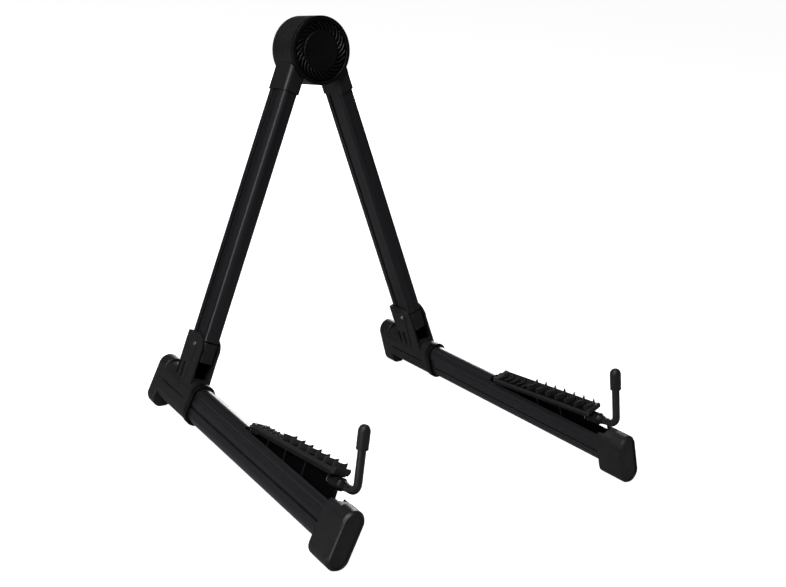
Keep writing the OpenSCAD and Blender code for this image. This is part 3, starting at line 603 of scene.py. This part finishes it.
def foot_tube(side):
    name = SIDES[side] + "_foot_tube"
    place = FOOT[side] @ Matrix.Translation((0, 0, FOOT_UP))
    near, far = FOOT_REAR - 4, -(FOOT_FRONT - 10)
    skin = [[(x, y, z) for x, z in foot_section(0)] for y in (near, far)]
    bore = [[(x, y, z) for x, z in foot_section(WALL)] for y in (near + 1, far - 1)]
    outer = build(name + "_visual", loft(skin), place)
    inner = build(name + "_bore", loft(bore), place)
    gap = bmesh.new()
    bmesh.ops.create_cube(gap, size=1, matrix=Matrix.LocRotScale(
        (0, -(SLOT_REAR + SLOT_FRONT) / 2, FOOT_HH), None, (SLOT_W, SLOT_FRONT - SLOT_REAR, FOOT_HH)))
    slot = build(name + "_slot", gap, place)
    for cutter in (inner, slot):
        cut = outer.modifiers.new("cut", "BOOLEAN")
        cut.operation, cut.object, cut.solver = "DIFFERENCE", cutter, "EXACT"
    baked(outer)
    for cutter in (inner, slot):
        bpy.data.objects.remove(cutter)
    rounded(outer, 0.15, 2, 30)
    return dress(outer, FOOT_METAL[side], BODY_OF[name], SLOTS[name], name)


for side in SIDES:
    print(foot_tube(side).name, "slot", SLOT_FRONT - SLOT_REAR, "mm long")

# %% [markdown]
# ## Cradles, pads and hooks
# The pad is soft rubber on a stiff nylon wedge. Low chevrons cover its rear and tall fins its
# front, where the instrument's edge rests. The hook is a bent wire with a dipped sleeve on its end;
# it leaves the wedge through a round boss with a tapered bush.

# %% Cradles and pads
PAD_W, CRADLE_LEN, PAD_REAR, PLATE_TOP, PAD_TOP = 12.8, 104.0, 3.2, 1.9, 4.7
WEB_HW = 1.6
FIN_COUNT, FIN_THICK, FIN_TALL, FIN_POINT, FIN_HALF = 7, 1.5, 4.2, 3.4, 5.9
RIB_COUNT, RIB_THICK, RIB_TALL, RIB_POINT, RIB_HALF = 5, 1.2, 1.2, 3.0, 5.6
# Where the first fin and the first rib stand, from the pad's heel
FINS_FROM, RIBS_FROM = 0.4 * CRADLE_LEN, 7.5


def pad_base():
    """A bar with round long edges, a rounded heel and a nose that hugs the plate's end."""
    heel, nose = -PAD_REAR, -CRADLE_LEN
    outline = [(heel, PLATE_TOP), (heel + 0.7, PLATE_TOP + 0.8), (heel + 0.6, PAD_TOP - 0.4),
               (heel - 0.6, PAD_TOP + 0.5), (heel - 2.4, PAD_TOP + 0.5), (heel - 3.6, PAD_TOP),
               (nose, PAD_TOP), (nose - 1.6, PAD_TOP + 0.7), (nose - 3, PAD_TOP + 1.2),
               (nose - 3.8, PAD_TOP + 0.6), (nose - 4, PAD_TOP - 0.6), (nose - 3.4, 2.2),
               (nose - 2, 0.7), (nose, 0.7), (nose, PLATE_TOP)]
    return loft([[(x, y, z) for y, z in outline] for x in (-PAD_W / 2, PAD_W / 2)])


def chevron_rib(thick, tall, point, half):
    """A rib bent to a V that points forward, lower at its point, with round ends and a thin top."""
    rows = []
    for i in range(13):
        x = half * math.sin(math.pi / 2 * (i - 6) / 6)
        y = -point * (1 - abs(x) / half)
        low = 0.35 * (1 - abs(x) / half)
        slim = thick * (0.5 + 0.5 * math.sqrt(max(0.0, 1 - (x / half) ** 6)))
        root, top = PAD_TOP - 0.3, PAD_TOP + tall - low
        rows.append([(x, y + slim / 2, root), (x, y - slim / 2, root),
                     (x, y - 0.28 * slim - 0.3, top - 0.2), (x, y - 0.3, top),
                     (x, y + 0.28 * slim - 0.3, top - 0.2)])
    return loft(rows)


# Picks the fins and rims, which get the painted light finish
def fins_and_rims_painted_light(centre, normal):
    return not (normal.z > 0.9 and centre.z < PAD_TOP + 0.2)


# Picks the web's faces, which get the painted shade finish
def on_web_for_painted_shade(centre, normal):
    return abs(normal.x) > 0.9 and abs(centre.x) < WEB_HW + 0.2


def rubber_pad(side):
    name = SIDES[side] + "_rubber_pad"
    pitch = (CRADLE_LEN - 1.4 - FINS_FROM) / (FIN_COUNT - 1)
    low_pitch = (FINS_FROM - RIBS_FROM) / RIB_COUNT
    fin = chevron_rib(FIN_THICK, FIN_TALL, FIN_POINT, FIN_HALF)
    fin.transform(Matrix.Translation((0, -FINS_FROM, 0)))
    rib = chevron_rib(RIB_THICK, RIB_TALL, RIB_POINT, RIB_HALF)
    rib.transform(Matrix.Translation((0, -RIBS_FROM, 0)))
    fins = repeated(fin, FIN_COUNT, PAD_RUBBER_PAINTED_SHADE, step=(0, -pitch, 0))
    ribs = repeated(rib, RIB_COUNT, PAD_RUBBER_PAINTED_SHADE, step=(0, -low_pitch, 0))
    piece = build(name + "_visual", joined(pad_base(), fins, ribs), CRADLE[side], 0.22)
    dress(piece, PAD_RUBBER_PAINTED_SHADE, BODY_OF[name], SLOTS[name], name)
    # Painted light on the fins and rims, painted shade on the floor between them
    second_tone(piece, CRADLE[side], FIN_RUBBER_PAINTED_LIGHT, fins_and_rims_painted_light)
    return piece


for side, name in SIDES.items():
    wedge = soften(name + "_cradle", 0.3, NYLON_CRADLE)
    # Painted shade on the web between the ribs
    second_tone(wedge, CRADLE[side], NYLON_WEB_PAINTED_SHADE, on_web_for_painted_shade)
    # The anchor gets the same painted shade finish
    refinish(name + "_cradle_anchor", NYLON_WEB_PAINTED_SHADE)
    print(rubber_pad(side).name, "fins", FIN_TALL, "mm tall")

# %% Hooks
SLEEVE_R, DOME_FROM, DOME_TALL = 4.1, 40.5, 4.5


def hook_sleeve(side):
    """A dipped sleeve with a rolled lower lip and a domed end."""
    name = SIDES[side] + "_hook_sleeve"
    profile = [(2.85, 28.5), (3.8, 28.5), (SLEEVE_R, 28.9), (SLEEVE_R, 29.6), (3.95, 30.2),
               (SLEEVE_R, 33), (SLEEVE_R, DOME_FROM)]
    profile += [(SLEEVE_R * cos(a), DOME_FROM + DOME_TALL * sin(a)) for a in (15, 30, 45, 60, 75, 90)]
    piece = build(name + "_visual", lathe(profile), HOOK[side], 0)
    return dress(piece, SLEEVE_RUBBER, BODY_OF[name], SLOTS[name], name)


def hook_bush(side):
    """A bush with a collar outside the boss, tapered towards the wire."""
    name = SIDES[side] + "_hook_bush"
    profile = [(2.85, -98.8), (3.55, -98.8), (3.6, -110.05), (4.4, -110.1), (4.5, -110.9), (4.2, -111.4),
               (3.5, -112.6), (3.15, -114.6), (2.95, -116.2), (2.85, -116.3)]
    piece = build(name + "_visual", lathe(profile, axis="Y"),
                  CRADLE[side] @ Matrix.Translation((0, 0, -HOOK_DROP)), 0)
    return dress(piece, ABS_SMOOTH_PAINTED_SHADE, BODY_OF[name], SLOTS[name], name)


for side, name in SIDES.items():
    hook_sleeve(side)
    hook_bush(side)
    refinish(name + "_hook_wire", WIRE_COAT)
    refinish(name + "_hook_clip", PIN_STEEL)
    refinish(name + "_knee_spring", SPRING_STEEL)
print("hooks done")

# %% Inner pieces keep their solids
for node in ("head_axle", "head_axle_clip"):
    refinish(node, PIN_STEEL)
for node in ("head_button_spring", "head_opening_spring"):
    refinish(node, SPRING_STEEL)
refinish("head_lock_ring", LOCK_STEEL)
soften("head_cover_screws", 0.1, SCREW_STEEL)

# %% [markdown]
# ## The studio
# The photograph is a cut-out on pure white under broad soft light. The floor and the world show
# white to the lens but light the object far more gently, so black stays black. One softbox stands
# behind the object and lets its back be read.

# %% Floor and light
FLOOR_HALF = 60
floor_mesh = bpy.data.meshes.new("floor")
floor_mesh.from_pydata([(-FLOOR_HALF, -FLOOR_HALF, 0), (FLOOR_HALF, -FLOOR_HALF, 0),
                        (FLOOR_HALF, FLOOR_HALF, 0), (-FLOOR_HALF, FLOOR_HALF, 0)], [], [(0, 1, 2, 3)])
floor = link("floor", floor_mesh)
floor_finish = bpy.data.materials.new("white paper sweep")
floor_finish.use_nodes = True
paper = floor_finish.node_tree
paper.nodes.clear()
seen = add(paper, "ShaderNodeAddShader", [
    (0, add(paper, "ShaderNodeBsdfDiffuse", Color=(0.8, 0.8, 0.8, 1)).outputs[0]),
    (1, add(paper, "ShaderNodeEmission", Strength=0.93).outputs[0])])
dim = add(paper, "ShaderNodeBsdfDiffuse", Color=(0.3, 0.3, 0.3, 1))
lens_ray = add(paper, "ShaderNodeLightPath").outputs["Is Camera Ray"]
either = add(paper, "ShaderNodeMixShader", [("Fac", lens_ray), (1, dim.outputs[0]), (2, seen.outputs[0])])
add(paper, "ShaderNodeOutputMaterial", [("Surface", either.outputs[0])])
floor_mesh.materials.append(floor_finish)

world = bpy.data.worlds.new("studio")
bpy.context.scene.world = world
world.use_nodes = True
sky = world.node_tree
sky.nodes.clear()
bright = add(sky, "ShaderNodeBackground", Color=(1, 1, 1, 1), Strength=1.3)
lit = add(sky, "ShaderNodeBackground", Color=(1, 1, 1, 1), Strength=0.05)
rays = add(sky, "ShaderNodeLightPath")
both = add(sky, "ShaderNodeMixShader",
           [("Fac", rays.outputs["Is Camera Ray"]), (1, lit.outputs[0]), (2, bright.outputs[0])])
add(sky, "ShaderNodeOutputWorld", [("Surface", both.outputs[0])])


def softbox(name, at, aim, size, power):
    light = bpy.data.lights.new(name, "AREA")
    light.shape, light.size, light.size_y, light.energy = "RECTANGLE", size[0], size[1], power
    lamp = link(name, light)
    lamp.location = at
    lamp.rotation_euler = (Vector(aim) - Vector(at)).to_track_quat("-Z", "Y").to_euler()


softbox("softbox above left", (-0.9, -0.35, 1.5), (0, 0, 0.1), (0.45, 0.9), 18)
softbox("softbox left", (-1.6, -0.3, 0.45), (0, 0, 0.15), (0.4, 1.0), 7)
softbox("softbox front", (0.1, -1.8, 0.9), (0, 0, 0.12), (0.8, 0.8), 0.4)
softbox("softbox behind", (1.3, 1.4, 0.5), (0, 0, 0.15), (0.6, 1.0), 16)

# %% The camera of the photograph
# Found by fitting the object's outline. Slides and distance are in leg lengths from the head's centre
FOCAL_PX, PHOTO_W_PX, SENSOR_MM = 1200.3, 786, 36.0
AZIMUTH, PITCH, ROLL = 38.614, 18.129, 5.683
SLIDE_X, SLIDE_Y, FAR = -0.22221, 0.66145, 3.26553
ahead = Vector((sin(AZIMUTH) * cos(PITCH), cos(AZIMUTH) * cos(PITCH), -sin(PITCH)))
level = Vector((cos(AZIMUTH), -sin(AZIMUTH), 0))
upward = level.cross(ahead)
right = level * cos(ROLL) + upward * sin(ROLL)
up = -level * sin(ROLL) + upward * cos(ROLL)
spot = (-FAR * ahead - SLIDE_X * right - SLIDE_Y * up) * (LEG_LEN * MM) + HEAD.translation * MM
lens = bpy.data.cameras.new("camera")
lens.sensor_fit, lens.sensor_width = "HORIZONTAL", SENSOR_MM
lens.lens = FOCAL_PX * SENSOR_MM / PHOTO_W_PX
camera = link("camera", lens)
camera.matrix_world = Matrix.Translation(spot) @ Matrix((right, up, -ahead)).transposed().to_4x4()
bpy.context.scene.camera = camera
bpy.context.scene.view_settings.view_transform = "Standard"
print("lens", round(lens.lens, 1), "mm")
